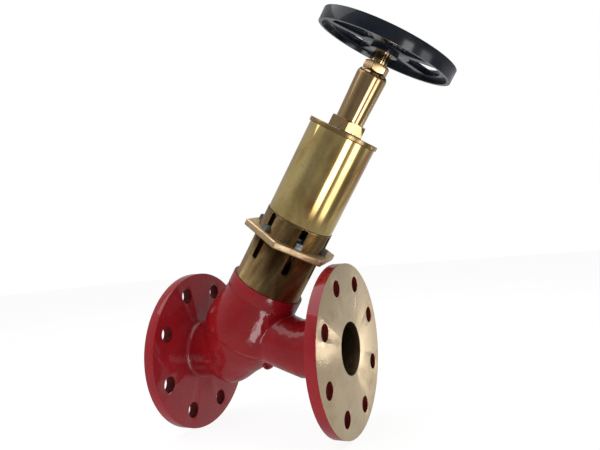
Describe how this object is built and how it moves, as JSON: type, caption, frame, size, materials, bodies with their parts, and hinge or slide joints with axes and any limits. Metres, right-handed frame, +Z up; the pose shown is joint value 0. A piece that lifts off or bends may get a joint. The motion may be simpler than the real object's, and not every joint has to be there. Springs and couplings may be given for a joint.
{
  "type": "globe valve",
  "caption": "Oblique-pattern globe valve with a flange at each end, slotted spring barrel with hexagonal adjusting ring, brass sleeve, rising spindle and spoked handwheel.",
  "frame": {"origin": "centre of the inlet flange's machined face, on the pipe axis", "axes": "+X along the pipe from inlet to outlet, +Z up with the pipe level, the stem leaning in the XZ plane towards the outlet, +Y to the back"},
  "size_m": [0.3493, 0.185, 0.4659],
  "materials": {
    "red_casting": "glossy red enamel over a bronze casting, flange faces machined bare",
    "polished_brass": "polished, slightly tarnished",
    "turned_brass": "turned and threaded, dull olive brown",
    "cast_brass": "sand cast, pale and matt",
    "bonnet_brass": "turned, brown bronze",
    "black_wheel": "gloss black enamel",
    "steel": "zinc plated, dull",
    "spring_steel": "oiled, dark",
    "rubber": "matt black",
    "fibre": "compressed fibre",
    "packing": "white woven packing"
  },
  "bodies": {
    "valve": {"valve_body": "red_casting", "body_bowl": "red_casting", "outlet_elbow": "red_casting", "body_neck": "red_casting", "inlet_neck": "red_casting", "outlet_neck": "red_casting", "inlet_flange": "red_casting", "outlet_flange": "red_casting", "seat_ring": "polished_brass", "seat_gasket": "fibre", "guide_plate": "turned_brass", "guide_seals": "rubber", "barrel_gasket": "fibre", "spring_barrel": "turned_brass", "cover_sleeve": "polished_brass", "top_cap": "bonnet_brass", "bonnet_gasket": "fibre", "bonnet": "bonnet_brass", "packing_washer": "turned_brass", "packing_rings": "packing", "gland_nut": "bonnet_brass", "spring": "spring_steel"},
    "disc": {"disc": "turned_brass", "disc_seal": "rubber", "seal_retainer": "turned_brass", "retainer_nut": "steel", "disc_stem": "turned_brass", "spring_plate": "steel", "stem_nut": "steel", "thrust_pad": "steel"},
    "spindle": {"spindle": "bonnet_brass", "handwheel": "black_wheel", "wheel_washer": "steel", "wheel_nut": "steel"},
    "carrier": {"spring_carrier": "steel", "spring_seat": "steel"},
    "ring": {"adjusting_ring": "cast_brass"}
  },
  "joints": [
    {"name": "disc_lift", "type": "slide", "parent": "valve", "child": "disc", "axis": [0.5621, 0, 0.8271], "range_m": [0, 0.014], "deforming": ["spring"]},
    {"name": "spindle_turn", "type": "hinge", "parent": "disc", "child": "spindle", "pos_m": [0.27607, 0, 0.31735], "axis": [0.5621, 0, 0.8271], "range_deg": [0, 1261]},
    {"name": "carrier_slide", "type": "slide", "parent": "valve", "child": "carrier", "axis": [0.5621, 0, 0.8271], "range_m": [-0.033, 0.012], "deforming": ["spring"]},
    {"name": "ring_turn", "type": "hinge", "parent": "carrier", "child": "ring", "pos_m": [0.14241, 0, 0.12067], "axis": [0.5621, 0, 0.8271], "range_deg": [-3961, 1441]}
  ],
  "couplings": [
    {"joint": "spindle_turn", "follows": "disc_lift", "rad_per_m": 1570.8},
    {"joint": "ring_turn", "follows": "carrier_slide", "rad_per_m": 2094.4}
  ]
}
